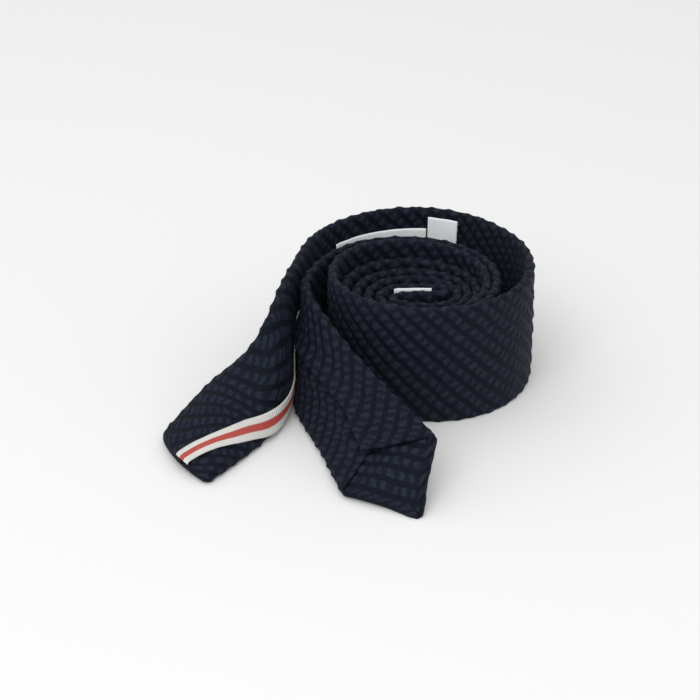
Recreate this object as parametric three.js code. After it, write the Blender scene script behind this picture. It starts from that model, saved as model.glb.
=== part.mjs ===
// A rolled necktie, standing on its long edge with both ends lying free.
// Millimetres, +Z up. The tie is one long strip: s runs along it from the narrow
// end to the wide end, v runs across it, w runs through it towards the front cloth.
import * as THREE from "three";

// Cloth and make-up
const clothThickness = 0.8;
const stripThickness = 3.8;
const clearance = 0.35;
const wideWidth = 60;
const narrowWidth = 50;
const neckWidth = 36;
const neckLength = 220;
const seamGap = 0.5;

const shortestStep = 1.9;
const longestStep = 9;
const endStep = 5;
const twistStep = 2.6;
const bendSag = 0.22;

// The roll
const coreLength = 17;
const coreGap = 4.2;
const coreSpread = stripThickness + coreGap;
const coreY = -5.1;
const firstGapX = 2.8;
const firstGapY = 3.4;
const firstReachX = (coreLength + coreSpread) / 2 + stripThickness + firstGapX;
const firstReachY = coreSpread / 2 + 2 * stripThickness + firstGapY;
const wrapGapX = 1.5;
const wrapGapFront = 1.8;
const wrapGapBack = 3.9;
const layerPitchX = stripThickness + wrapGapX;
const layerPitchFront = stripThickness + wrapGapFront;
const layerPitchBack = stripThickness + wrapGapBack;
const rollTurns = 3;
const leaveTurn = 1 / 12;
const looseTurn = 12.5;
const rollReach = firstReachX + layerPitchX * 2 * rollTurns;

// The two ends, whose points are drawn for a roll that reaches this far
const drawnReach = 50.9;
const stepsPerEntry = 6;
const narrowCutEntry = 3;
const wideCutEntry = 2.34;
const hingeGap = 1.1;
const wideArch = 6;
const pointLength = 25;
const hemWidth = 6;
const notchDepth = 14;
const tackInset = 8;
const tackReach = 3.5;

// Trims
const tapeWidth = 10;
const tapeThickness = 0.7;
const tapeRun = 30;
const keeperLength = 56;
const keeperHeight = 36;
const keeperLift = -1;
const keeperTurn = 2.795;
const labelThickness = 0.6;
const careLength = 17;
const careHeight = 28;
const careLift = 12;
const coreTabLength = 20;
const coreTabHeight = 22;
const threadSize = 0.5;

const turnAngle = 2 * Math.PI;
const rollCentreZ = wideWidth / 2;

function smooth(from, to, x) {
  const t = Math.min(1, Math.max(0, (x - from) / (to - from)));
  return t * t * (3 - 2 * t);
}

// Extra looseness of the last turn of the wide arm: it stands off the roll at the right and back.
function slackAt(turns, arm) {
  const left = rollTurns - turns;
  if (arm === "narrow") {
    return 4.2 * smooth(0.3, 0, left);
  }
  const opening = smooth(0.8, 0.42, left) * looseTurn;
  const back = smooth(0.5, 0.25, left) * 0.5 * looseTurn;
  const closing = smooth(0.3, 0, left) * 1.02 * looseTurn;
  return opening + back - closing;
}

// Plan position of an arm after a number of turns from the left end of the core.
function rollPoint(turns, arm) {
  const angle = Math.PI + turns * turnAngle;
  const layer = 2 * turns - (arm === "narrow" ? 1 : 0);
  const slack = slackAt(turns, arm);
  const reachX = firstReachX + layerPitchX * layer + slack;
  const reachY = firstReachY + ((layerPitchFront + layerPitchBack) / 2) * layer + slack;
  const centreX = 1.4 - 0.5 * layer;
  const centreY = coreY - 5.5 + ((layerPitchBack - layerPitchFront) / 2) * layer;
  return [centreX + reachX * Math.cos(angle), centreY + reachY * Math.sin(angle)];
}

// Points of one arm in plan, from the fold outward.
function armPlan(arm) {
  const points = [];
  const foldX = coreLength / 2 + 2;
  const armY = coreY + (arm === "wide" ? 0.5 : -0.5) * coreSpread;
  for (let x = foldX; x > -coreLength / 2 + 4; x -= 4) {
    points.push([x, armY]);
  }
  if (arm === "wide") {
    points.push([-coreLength / 2 - 3.6, armY - 1.5]);
  }
  const first = arm === "wide" ? 0.0 : 0.02;
  for (let turns = first; turns < rollTurns - leaveTurn; turns += 1 / 36) {
    points.push(rollPoint(turns, arm));
  }
  return points;
}

// The wide end falls outward from the roll until it lies on the floor, back side up.
const wideEnd = [
  { bottom: [-61.2, -3.7, 0.2], top: [-59.6, -3.7, 60] },
  { bottom: [-62.3, -24, 0.6], top: [-64.6, -23.3, 58.6] },
  { bottom: [-63.0, -43, 1.2], top: [-71, -43, 50.6] },
  { bottom: [-66.6, -61.5, 1.9], top: [-80.2, -44.2, 35.6] },
  { bottom: [-76.6, -81.5, 2.1], top: [-100, -43.2, 15.2] },
  { bottom: [-86.5, -96.6, 2.3], top: [-112.6, -54.5, 5.6] },
  { bottom: [-97.6, -111.4, 2.3], top: [-121.2, -71.8, 2.3] },
];

// The narrow end leans against the front of the roll, back side out, its point on the floor.
const narrowEnd = [
  { bottom: [-53.8, -4.5, 4.6], top: [-53.0, -4.5, 54.6] },
  { bottom: [-56.6, -23, 2.2], top: [-52.4, -23, 54.4] },
  { bottom: [-58.1, -40.9, 1.6], top: [-44.2, -40.9, 50.2] },
  { bottom: [-53, -62.3, 1.5], top: [-27.9, -67, 41.9] },
  { bottom: [-45.6, -85.6, 1.8], top: [-11.2, -89.3, 33.9] },
  { bottom: [-35.9, -120.9, 1.8], top: [6.5, -108.8, 24.6] },
  { bottom: [-24.5, -140.9, -9.5], top: [17.4, -129.3, 13.8] },
];

// Smooth curves through the two edges of an end, picking up from the last two rulings of the roll.
function endRulings(entries, before) {
  const outward = new THREE.Vector3(drawnReach - rollReach, 0, 0);
  const given = entries.map((e) => ({
    bottom: new THREE.Vector3(...e.bottom).add(outward),
    top: new THREE.Vector3(...e.top).add(outward),
  }));
  const all = [before[before.length - 5], before[before.length - 1], ...given];
  const bottoms = new THREE.CatmullRomCurve3(all.map((e) => e.bottom));
  const tops = new THREE.CatmullRomCurve3(all.map((e) => e.top));
  const rulings = [];
  const segments = all.length - 1;
  for (let i = 1; i <= entries.length * stepsPerEntry; i += 1) {
    const t = (1 + i / stepsPerEntry) / segments;
    rulings.push({ bottom: bottoms.getPoint(t), top: tops.getPoint(t) });
  }
  return rulings;
}

// Half width of the strip at a distance from the fold.
function halfWidthAt(distance, reach, width) {
  const blend = smooth(neckLength / 2, reach, distance);
  return (neckWidth + (width - neckWidth) * blend) / 2;
}

function armRulings(arm) {
  const plan = armPlan(arm);
  const curve = new THREE.CatmullRomCurve3(plan.map(([x, y]) => new THREE.Vector3(x, y, 0)));
  const length = curve.getLength();
  const count = Math.round(length / 4);
  const width = arm === "wide" ? wideWidth : narrowWidth;
  const reach = arm === "wide" ? length * 0.62 : length * 0.95;
  const rulings = [];
  for (let i = 0; i <= count; i += 1) {
    const p = curve.getPointAt(i / count);
    const half = halfWidthAt((i / count) * length, reach, width);
    rulings.push({
      bottom: new THREE.Vector3(p.x, p.y, rollCentreZ - half),
      top: new THREE.Vector3(p.x, p.y, rollCentreZ + half),
    });
  }
  const end = endRulings(arm === "wide" ? wideEnd : narrowEnd, rulings);
  return { rulings: rulings.concat(end), rollCount: rulings.length };
}

// The half circle that joins the two arms at the fold.
function foldRulings() {
  const rulings = [];
  const radius = coreSpread / 2;
  const half = neckWidth / 2;
  for (let i = 1; i < 8; i += 1) {
    const angle = -Math.PI / 2 + (i / 8) * Math.PI;
    const x = coreLength / 2 + 2 + radius * Math.cos(angle);
    const y = coreY + radius * Math.sin(angle);
    rulings.push({
      bottom: new THREE.Vector3(x, y, rollCentreZ - half),
      top: new THREE.Vector3(x, y, rollCentreZ + half),
    });
  }
  return rulings;
}

const wideArm = armRulings("wide");
const narrowArm = armRulings("narrow");
const tieRulings = [...narrowArm.rulings].reverse().concat(foldRulings(), wideArm.rulings);

// Distances along the middle of the strip.
const tieLengths = [0];
for (let i = 1; i < tieRulings.length; i += 1) {
  const here = tieRulings[i].bottom.clone().add(tieRulings[i].top).multiplyScalar(0.5);
  const before = tieRulings[i - 1].bottom.clone().add(tieRulings[i - 1].top).multiplyScalar(0.5);
  tieLengths.push(tieLengths[i - 1] + here.distanceTo(before));
}
const tieLength = tieLengths[tieLengths.length - 1];
const foldAt = tieLengths[narrowArm.rulings.length + 3];

function rulingAt(s) {
  let low = 0;
  let high = tieLengths.length - 1;
  while (high - low > 1) {
    const mid = (low + high) >> 1;
    if (tieLengths[mid] <= s) {
      low = mid;
    } else {
      high = mid;
    }
  }
  const t = (s - tieLengths[low]) / (tieLengths[high] - tieLengths[low]);
  return {
    bottom: tieRulings[low].bottom.clone().lerp(tieRulings[high].bottom, t),
    top: tieRulings[low].top.clone().lerp(tieRulings[high].top, t),
  };
}

function middleAt(s) {
  const ruling = rulingAt(s);
  return ruling.bottom.add(ruling.top).multiplyScalar(0.5);
}

// The arch across the wide end, highest in its middle.
function archAt(s) {
  const fromEnd = tieLength - s;
  return wideArch * smooth(100, 55, fromEnd) * (0.35 + 0.65 * smooth(0, 45, fromEnd));
}

// Frame of the strip at s: middle, unit across, unit towards the front, half width.
function frameAt(s) {
  const ruling = rulingAt(s);
  const across = ruling.top.clone().sub(ruling.bottom);
  const half = across.length() / 2;
  across.normalize();
  const step = 2.5;
  const along = middleAt(Math.min(tieLength, s + step)).sub(middleAt(Math.max(0, s - step)));
  const front = along.cross(across).normalize();
  const middle = ruling.bottom.clone().add(ruling.top).multiplyScalar(0.5);
  return { middle, across, front, half, arch: -archAt(s) };
}

function pointOn(frame, v, w) {
  const lift = w + frame.arch * (1 - (v / frame.half) ** 2);
  return frame.middle.clone().addScaledVector(frame.across, v).addScaledVector(frame.front, lift);
}

// Where the strip is cut for its two hinges, and where the neck band is seamed.
const narrowCutAt = tieLengths[(narrowEnd.length - narrowCutEntry) * stepsPerEntry];
const wideCutAt = tieLengths[narrowArm.rulings.length + 7 + wideArm.rollCount
  + Math.round(wideCutEntry * stepsPerEntry)];
const narrowSeamAt = foldAt - neckLength / 2;
const wideSeamAt = foldAt + neckLength / 2;

// Shared stations along the strip, closer together where it bends more. Every piece uses them,
// so nested pieces bend alike.
const stations = [];
for (let s = 0; s < tieLength; s += stationStep(s)) {
  stations.push(s);
}

function bendStep(s) {
  const reach = 4;
  const at = middleAt(s);
  const before = at.clone().sub(middleAt(Math.max(0, s - reach))).normalize();
  const after = middleAt(Math.min(tieLength, s + reach)).sub(at).normalize();
  const radius = reach / Math.max(0.02, before.angleTo(after));
  return Math.max(shortestStep, Math.sqrt(8 * radius * bendSag));
}

function stationStep(s) {
  const twisting = Math.abs(s - narrowCutAt - 10) < 16 || Math.abs(s - wideCutAt - 10) < 30;
  const nearEnd = s < narrowCutAt + 60 || s > wideCutAt - 40;
  const longest = twisting ? twistStep : nearEnd ? endStep : longestStep;
  const ahead = [0, 3, 6].map((offset) => Math.max(offset, bendStep(s + offset)));
  return Math.min(longest, ...ahead);
}

// A closed solid that follows the strip: section(s, frame) gives its outline in [v, w],
// counter-clockwise with v to the right and w up.
function sweep(from, to, section) {
  const inside = stations.filter((s) => s > from + 0.8 && s < to - 0.8);
  const places = [from, ...inside, to];
  const count = places.length - 1;
  const positions = [];
  const indices = [];
  let sides = 0;
  for (const s of places) {
    const frame = frameAt(s);
    const outline = section(s, frame);
    sides = outline.length;
    for (const [v, w] of outline) {
      positions.push(...pointOn(frame, v, w).toArray());
    }
  }
  for (let i = 0; i < count; i += 1) {
    for (let j = 0; j < sides; j += 1) {
      const a = i * sides + j;
      const b = i * sides + ((j + 1) % sides);
      const c = a + sides;
      const d = b + sides;
      indices.push(a, b, d, a, d, c);
    }
  }
  const first = section(from, frameAt(from)).map(([v, w]) => new THREE.Vector2(v, w));
  const last = section(to, frameAt(to)).map(([v, w]) => new THREE.Vector2(v, w));
  for (const [a, b, c] of THREE.ShapeUtils.triangulateShape(first, [])) {
    indices.push(a, c, b);
  }
  const base = count * sides;
  for (const [a, b, c] of THREE.ShapeUtils.triangulateShape(last, [])) {
    indices.push(base + a, base + b, base + c);
  }
  const geometry = new THREE.BufferGeometry();
  geometry.setAttribute("position", new THREE.Float32BufferAttribute(positions, 3));
  geometry.setIndex(indices);
  geometry.computeVertexNormals();
  return geometry;
}

// Points across the strip at one depth, without the last.
function row(from, to, w, pieces) {
  return Array.from({ length: pieces }, (_, i) => [from + ((to - from) * i) / pieces, w]);
}

function box(low, high, back, front, pieces = 1) {
  return [
    ...row(low, high, back, pieces),
    [high, back],
    ...row(high, low, front, pieces),
    [low, front],
  ];
}

// Half width inside the pointed narrow end, and the half opening between its two back flaps.
function shellHalf(s, frame) {
  return s < pointLength ? Math.max(1.1, frame.half * (s / pointLength)) : frame.half;
}

function flapOpening(s, frame) {
  const half = shellHalf(s, frame);
  const hem = hemWidth * Math.SQRT2;
  if (s < pointLength) {
    return Math.max(0.12, half - hem);
  }
  const closing = 1 - Math.min(1, (s - pointLength) / notchDepth);
  return Math.max(0.3, (half - hem) * closing);
}

function shellThickness(s) {
  return stripThickness - 1.0 * (1 - smooth(0, pointLength, s));
}

// The outer cloth: front, both folded edges and two back flaps that meet in the middle.
function shellSection(s, frame, pieces) {
  const half = shellHalf(s, frame);
  const outer = shellThickness(s) / 2;
  const fromWideEnd = tieLength - s;
  const closed = Math.min(1, Math.max(0.06, (fromWideEnd - 0.8) / 2));
  const innerFront = (outer - clothThickness) * closed;
  const innerBack = -(outer - clothThickness) * closed;
  const innerHalf = half - clothThickness;
  const slit = flapOpening(s, frame);
  return [
    ...row(-half, -slit, -outer, pieces),
    [-slit, -outer],
    ...row(-slit, -innerHalf, innerBack, pieces),
    [-innerHalf, innerBack],
    ...row(-innerHalf, innerHalf, innerFront, 2 * pieces),
    [innerHalf, innerFront],
    ...row(innerHalf, slit, innerBack, pieces),
    [slit, innerBack],
    ...row(slit, half, -outer, pieces),
    [half, -outer],
    ...row(half, -half, outer, 2 * pieces),
    [-half, outer],
  ];
}

const rollShell = (s, frame) => shellSection(s, frame, 1);
const endShell = (s, frame) => shellSection(s, frame, 4);

function interliningSection(s, frame, pieces) {
  const half = shellHalf(s, frame) - clothThickness - clearance;
  const thick = shellThickness(s) / 2 - clothThickness - clearance - 0.15;
  return box(-half, half, -thick, thick, 2 * pieces);
}

const rollInterlining = (s, frame) => interliningSection(s, frame, 1);
const endInterlining = (s, frame) => interliningSection(s, frame, 4);

function tippingSection(s, frame) {
  const half = flapOpening(s, frame) - clearance;
  const back = -shellThickness(s) / 2;
  return box(-half, half, back + 0.1, back + clothThickness - 0.1, 8);
}

// A flat trim on the back of the strip, between two heights across it.
function backTrim(low, high, thickness) {
  const near = -stripThickness / 2 - clearance;
  return () => box(low, high, near - thickness, near, high - low > 5 ? 4 : 1);
}

// The distance along the strip whose middle lies nearest to a plan position.
function distanceNear([x, y], from, to) {
  let best = from;
  let least = Infinity;
  for (let s = from; s <= to; s += 0.5) {
    const p = middleAt(s);
    const gap = Math.hypot(p.x - x, p.y - y);
    if (gap < least) {
      least = gap;
      best = s;
    }
  }
  return best;
}

// Depth of what lies over the slip stitches.
const overThread = -stripThickness / 2 - threadSize - 2 * clearance;

const finishes = {
  cloth: { color: 0x161a26, roughness: 0.85, metalness: 0 },
  lining: { color: 0x1b2030, roughness: 0.7, metalness: 0 },
  interlining: { color: 0xd9d4c4, roughness: 0.95, metalness: 0 },
  tape: { color: 0xb8453a, roughness: 0.7, metalness: 0 },
  label: { color: 0xe9ebee, roughness: 0.75, metalness: 0 },
  thread: { color: 0x10131c, roughness: 0.6, metalness: 0 },
};

const necktie = new THREE.Group();
necktie.name = "necktie";

function addPart(name, finish, geometry) {
  const material = new THREE.MeshStandardMaterial(finishes[finish]);
  material.name = finish;
  const mesh = new THREE.Mesh(geometry, material);
  mesh.name = name;
  necktie.add(mesh);
  return mesh;
}

// Outer cloth, in three cut pieces, with both ends beyond their hinges apart.
addPart("narrow_blade_end", "cloth", sweep(0.8, narrowCutAt, endShell));
addPart("narrow_blade_roll", "cloth",
  sweep(narrowCutAt + hingeGap, narrowSeamAt - seamGap / 2, rollShell));
addPart("neck_band", "cloth",
  sweep(narrowSeamAt + seamGap / 2, wideSeamAt - seamGap / 2, rollShell));
addPart("wide_blade_roll", "cloth",
  sweep(wideSeamAt + seamGap / 2, wideCutAt - hingeGap, rollShell));
addPart("wide_blade_end", "cloth", sweep(wideCutAt, tieLength, endShell));

// Interlining inside the cloth.
addPart("interlining_narrow_end", "interlining",
  sweep(7, narrowCutAt - 1, endInterlining));
addPart("interlining_roll", "interlining",
  sweep(narrowCutAt + hingeGap + 1, wideCutAt - hingeGap - 1, rollInterlining));
addPart("interlining_wide_end", "interlining",
  sweep(wideCutAt + 1, tieLength - 9, endInterlining));

// Lining that closes the back of the pointed end.
addPart("narrow_tipping", "lining",
  sweep(hemWidth * 1.75, pointLength + notchDepth - 2, tippingSection));

// Striped tape down the middle of the wide end's back.
const halfTape = tapeWidth / 2;
addPart("striped_tape_end", "tape",
  sweep(wideCutAt, tieLength - 0.6, backTrim(-halfTape, halfTape, tapeThickness)));
addPart("striped_tape_roll", "tape",
  sweep(wideCutAt - hingeGap - tapeRun, wideCutAt - hingeGap,
    backTrim(-halfTape, halfTape, tapeThickness)));

// Slip stitches that close the back, and the bar tack that stops each row.
const halfThread = threadSize / 2;
const stitchLine = backTrim(-halfThread, halfThread, threadSize);
const narrowTackAt = pointLength + notchDepth + tackInset;
const wideTackAt = wideCutAt - hingeGap - tapeRun - tackInset;
addPart("slip_stitch_narrow_end", "thread",
  sweep(narrowTackAt + 1.6, narrowCutAt - 0.6, stitchLine));
addPart("slip_stitch_roll", "thread",
  sweep(narrowCutAt + hingeGap + 0.6, wideTackAt - 1.6, stitchLine));
addPart("bar_tack_narrow", "thread",
  sweep(narrowTackAt, narrowTackAt + 1.2, backTrim(-tackReach, tackReach, threadSize)));
addPart("bar_tack_wide", "thread",
  sweep(wideTackAt, wideTackAt + 1.2, backTrim(-tackReach, tackReach, threadSize)));

// Blank keeper label across the back of the wide blade, and the care label beside it.
const wideRollFrom = wideSeamAt + 100;
const keeperAt = distanceNear(rollPoint(keeperTurn, "wide"), wideRollFrom, wideCutAt);
const keeperLow = -keeperHeight / 2 + keeperLift;
addPart("keeper_label", "label",
  sweep(keeperAt - keeperLength / 2, keeperAt + keeperLength / 2,
    keeperSection));
addPart("care_label", "label",
  sweep(keeperAt - keeperLength / 2 - 0.8 - careLength, keeperAt - keeperLength / 2 - 0.8,
    careSection));

function careSection() {
  const low = careLift - careHeight / 2;
  return box(low, low + careHeight, overThread - 2 * labelThickness, overThread);
}

function keeperSection() {
  const near = overThread;
  return box(keeperLow, keeperLow + keeperHeight, near - labelThickness, near);
}

// White tab at the fold, between the two backs.
addPart("neck_tab", "label",
  sweep(foldAt + 9, foldAt + 9 + coreTabLength, coreTabSection));

function coreTabSection() {
  const near = overThread - 0.2;
  const top = neckWidth / 2 - 3;
  return box(top - coreTabHeight, top, near - labelThickness, near);
}

// The rest place: middle of the footprint, lowest face on the floor.
const bounds = new THREE.Box3().setFromObject(necktie);
const middle = bounds.getCenter(new THREE.Vector3());
necktie.position.set(-middle.x, -middle.y, -bounds.min.z);

export default necktie;
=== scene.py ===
import math
import bmesh
import bpy
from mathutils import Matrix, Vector, noise


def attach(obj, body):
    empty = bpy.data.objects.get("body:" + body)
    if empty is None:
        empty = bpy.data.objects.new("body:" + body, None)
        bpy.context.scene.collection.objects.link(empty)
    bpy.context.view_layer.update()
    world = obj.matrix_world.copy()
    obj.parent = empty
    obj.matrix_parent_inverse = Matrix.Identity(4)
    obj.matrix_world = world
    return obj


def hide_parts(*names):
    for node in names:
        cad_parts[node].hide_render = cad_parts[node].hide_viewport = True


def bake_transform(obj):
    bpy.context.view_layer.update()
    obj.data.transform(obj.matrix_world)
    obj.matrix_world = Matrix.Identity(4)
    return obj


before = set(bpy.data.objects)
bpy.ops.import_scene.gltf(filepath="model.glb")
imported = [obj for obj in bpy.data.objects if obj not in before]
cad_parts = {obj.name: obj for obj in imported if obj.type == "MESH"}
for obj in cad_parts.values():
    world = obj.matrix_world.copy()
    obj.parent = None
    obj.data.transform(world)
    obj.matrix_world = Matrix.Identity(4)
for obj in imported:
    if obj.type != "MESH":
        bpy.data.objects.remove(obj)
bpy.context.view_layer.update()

# Slim seersucker tie, folded in half and rolled up on its long edge, in metres.
# s runs along the tie from the narrow end to the wide end, v across it, w through it to the front.
mm = 0.001
up = Vector((0, 0, 1))
noise.seed_set(7)    # without it the cloth sways another way each run
print("frame loaded:", len(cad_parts), "nodes")

tie = {
    "wide": 60 * mm,
    "narrow": 50 * mm,
    "neck": 36 * mm,
    "neckLength": 220 * mm,
    "rollMiddle": Vector((31.76, 34.53, 0)) * mm,
}

roll = {
    "coreLength": 17 * mm,
    "coreSpread": 8 * mm,
    "coreY": -5.1 * mm,
    "reachX": 19.1 * mm,
    "reachY": 15 * mm,
    "pitchX": 5.3 * mm,
    "pitchFront": 5.6 * mm,
    "pitchBack": 7.7 * mm,
    "turns": 3,
    "leave": 1 / 12,
    "loose": 12.5 * mm,
}

endSteps = 6    # rulings from one pair of edge points to the next
# Edge points of the two free ends: (bottom edge, top edge), from the roll outward, in mm.
freeEnds = {
    "wide": [
        ((-61.2, -3.7, 0.2), (-59.6, -3.7, 60)),
        ((-62.3, -24, 0.6), (-64.6, -23.3, 58.6)),
        ((-63.0, -43, 1.2), (-71, -43, 50.6)),
        ((-66.6, -61.5, 1.9), (-80.2, -44.2, 35.6)),
        ((-76.6, -81.5, 2.1), (-100, -43.2, 15.2)),
        ((-86.5, -96.6, 2.3), (-112.6, -54.5, 5.6)),
        ((-97.6, -111.4, 2.3), (-121.2, -71.8, 2.3)),
    ],
    "narrow": [
        ((-53.8, -4.5, 4.6), (-53.0, -4.5, 54.6)),
        ((-56.6, -23, 2.2), (-52.4, -23, 54.4)),
        ((-58.1, -40.9, 1.6), (-44.2, -40.9, 50.2)),
        ((-53, -62.3, 1.5), (-27.9, -67, 41.9)),
        ((-45.6, -85.6, 1.8), (-11.2, -89.3, 33.9)),
        ((-35.9, -120.9, 1.8), (6.5, -108.8, 24.6)),
        ((-24.5, -140.9, -9.5), (17.4, -129.3, 13.8)),
    ],
}


def smooth(low, high, x):
    t = min(1, max(0, (x - low) / (high - low)))
    return t * t * (3 - 2 * t)


# A smooth curve through points, evenly blended by the square root of their spacing.
def curvePoint(points, t):
    last = len(points) - 1
    place = min(t * last, last - 1e-9)
    i = int(place)
    x = place - i
    p1, p2 = points[i], points[i + 1]
    p0 = points[i - 1] if i else 2 * p1 - p2
    p3 = points[i + 2] if i + 2 <= last else 2 * p2 - p1
    d0, d1, d2 = (max(1e-5, (b - a).length) ** 0.5 for a, b in ((p0, p1), (p1, p2), (p2, p3)))
    m1 = ((p1 - p0) / d0 - (p2 - p0) / (d0 + d1) + (p2 - p1) / d1) * d1
    m2 = ((p2 - p1) / d1 - (p3 - p1) / (d1 + d2) + (p3 - p2) / d2) * d1
    return (p1 + m1 * x + (3 * (p2 - p1) - 2 * m1 - m2) * x * x
            + (2 * (p1 - p2) + m1 + m2) * x ** 3)


def slackAt(turns, arm):
    left = roll["turns"] - turns
    if arm == "narrow":
        return 4.2 * mm * smooth(0.3, 0, left)
    loose = roll["loose"]
    return loose * (smooth(0.8, 0.42, left) + 0.5 * smooth(0.5, 0.25, left)
                    - 1.02 * smooth(0.3, 0, left))


def rollPoint(turns, arm):
    angle = math.pi + turns * math.tau
    layer = 2 * turns - (arm == "narrow")
    slack = slackAt(turns, arm)
    front, back = roll["pitchFront"], roll["pitchBack"]
    reachX = roll["reachX"] + roll["pitchX"] * layer + slack
    reachY = roll["reachY"] + (front + back) / 2 * layer + slack
    centreX = (1.4 - 0.5 * layer) * mm
    centreY = roll["coreY"] - 5.5 * mm + (back - front) / 2 * layer
    return Vector((centreX + reachX * math.cos(angle), centreY + reachY * math.sin(angle), 0))


def armPlan(arm):
    side = 0.5 if arm == "wide" else -0.5
    half = roll["coreLength"] / 2
    armY = roll["coreY"] + side * roll["coreSpread"]
    points = []
    x = half + 2 * mm
    while x > -half + 4 * mm:
        points.append(Vector((x, armY, 0)))
        x -= 4 * mm
    if arm == "wide":
        points.append(Vector((-half - 3.6 * mm, armY - 1.5 * mm, 0)))
    turns = 0 if arm == "wide" else 0.02
    while turns < roll["turns"] - roll["leave"]:
        points.append(rollPoint(turns, arm))
        turns += 1 / 36
    return points


# Rulings of one arm, from the fold outward: the strip's bottom and top edge points.
def armRulings(arm):
    points = armPlan(arm)
    fine = [curvePoint(points, i / (len(points) * 8)) for i in range(len(points) * 8 + 1)]
    run = [0]
    for a, b in zip(fine, fine[1:]):
        run.append(run[-1] + (b - a).length)
    length = run[-1]
    count = round(length / (4 * mm))
    reach = length * (0.62 if arm == "wide" else 0.95)
    rulings = []
    k = 0
    for i in range(count + 1):
        want = length * i / count
        while k < len(run) - 2 and run[k + 1] < want:
            k += 1
        part = (want - run[k]) / max(1e-9, run[k + 1] - run[k])
        spot = fine[k].lerp(fine[k + 1], part)
        blend = smooth(tie["neckLength"] / 2, reach, want)
        half = (tie["neck"] + (tie[arm] - tie["neck"]) * blend) / 2
        middleZ = tie["wide"] / 2
        rulings.append((spot + up * (middleZ - half), spot + up * (middleZ + half)))
    entries = [tuple(Vector(p) * mm for p in pair) for pair in freeEnds[arm]]
    both = [rulings[-5], rulings[-1]] + entries
    bottoms = [pair[0] for pair in both]
    tops = [pair[1] for pair in both]
    for i in range(1, len(entries) * endSteps + 1):
        t = (1 + i / endSteps) / (len(both) - 1)
        rulings.append((curvePoint(bottoms, t), curvePoint(tops, t)))
    return rulings, count + 1


def foldRulings():
    radius = roll["coreSpread"] / 2
    half = tie["neck"] / 2
    middleZ = tie["wide"] / 2
    rulings = []
    for i in range(1, 8):
        angle = -math.pi / 2 + i / 8 * math.pi
        spot = Vector((roll["coreLength"] / 2 + 2 * mm + radius * math.cos(angle),
                       roll["coreY"] + radius * math.sin(angle), 0))
        rulings.append((spot + up * (middleZ - half), spot + up * (middleZ + half)))
    return rulings


wideRulings, wideRollCount = armRulings("wide")
narrowRulings = armRulings("narrow")[0]
turnRulings = foldRulings()
rulings = narrowRulings[::-1] + turnRulings + wideRulings
rulings = [(a + tie["rollMiddle"], b + tie["rollMiddle"]) for a, b in rulings]
runs = [0]
for (a, b), (c, d) in zip(rulings, rulings[1:]):
    runs.append(runs[-1] + ((c + d - a - b) / 2).length)
tieLength = runs[-1]
foldAt = runs[len(narrowRulings) + len(turnRulings) // 2]
narrowCutAt = runs[(len(freeEnds["narrow"]) - 3) * endSteps]
wideCutAt = runs[len(narrowRulings) + len(turnRulings) + wideRollCount + 14]
narrowSeamAt = foldAt - tie["neckLength"] / 2
wideSeamAt = foldAt + tie["neckLength"] / 2
print("strip laid out:", round(tieLength / mm), "mm long")

# Even table of the strip, one entry per millimetre: middle, across, front, half width.
stripTable = []


def rulingAt(s):
    low, high = 0, len(runs) - 1
    while high - low > 1:
        half = (low + high) // 2
        if runs[half] <= s:
            low = half
        else:
            high = half
    t = (s - runs[low]) / (runs[high] - runs[low])
    return rulings[low][0].lerp(rulings[high][0], t), rulings[low][1].lerp(rulings[high][1], t)


def middleAt(s):
    bottom, top = rulingAt(min(tieLength, max(0, s)))
    return (bottom + top) / 2


for i in range(int(tieLength / mm) + 2):
    s = min(i * mm, tieLength)
    bottom, top = rulingAt(s)
    across = (top - bottom).normalized()
    along = middleAt(s + 2.5 * mm) - middleAt(s - 2.5 * mm)
    front = along.cross(across).normalized()
    stripTable.append(((bottom + top) / 2, across, front, (top - bottom).length / 2))


def stripAt(s):
    place = min(max(s / mm, 0), len(stripTable) - 1.001)
    i = int(place)
    t = place - i
    a, b = stripTable[i], stripTable[i + 1]
    return (a[0].lerp(b[0], t), a[1].lerp(b[1], t).normalized(), a[2].lerp(b[2], t).normalized(),
            a[3] + (b[3] - a[3]) * t)


# The arch across the lying wide end.
def archAt(s):
    left = tieLength - s
    rise = 6 * mm * smooth(100 * mm, 55 * mm, left)
    return rise * (0.35 + 0.65 * smooth(0, 45 * mm, left))


# The wide end's edge bows out a little between its corners.
def bowAt(s, share):
    return 3.4 * mm * (1 - share * share) * smooth(20 * mm, 0, tieLength - s)


# How far a point slides along the strip: out at the wide end, and out to a full narrow tip.
def slideAt(s, share):
    return bowAt(s, share) - narrowTip["reach"] * max(0, 1 - s / narrowTip["length"])


def onStrip(s, v, w):
    middle, across, front, half = stripAt(s)
    share = min(1, max(-1, v / half))
    lift = w - archAt(s) * (1 - share ** 2)
    return middle + across * v + front * lift + across.cross(front) * slideAt(s, share)


cloth = {
    "band": 6.2 * mm,        # one puckered band and one flat band
    "puffed": 0.68,          # share of that which is puckered
    "wave": 4.7 * mm,        # from crest to crest along a band
    "height": 0.9 * mm,
    "layer": 0.35 * mm,
    "edge": 1.9 * mm,        # half the folded thickness
    "overlap": 6 * mm,       # how far the upper flap covers the lower one
    "tuck": 1.2 * mm,        # folded edge of a flap
    "corner": 3.5 * mm,      # corners of the wide end
}
uvScale = 10                 # UV units per metre of cloth
diagonal = 0.70711           # the cloth is cut on the bias


# Cloth is never quite straight: every point sways a little, and none goes under the floor.
def sway(spot):
    soft = noise.noise_vector(spot * 24)
    moved = spot + Vector((soft.x, soft.y, 0.45 * soft.z)) * 0.7 * mm
    moved.z = max(moved.z, 0.05 * mm)
    return moved


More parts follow.
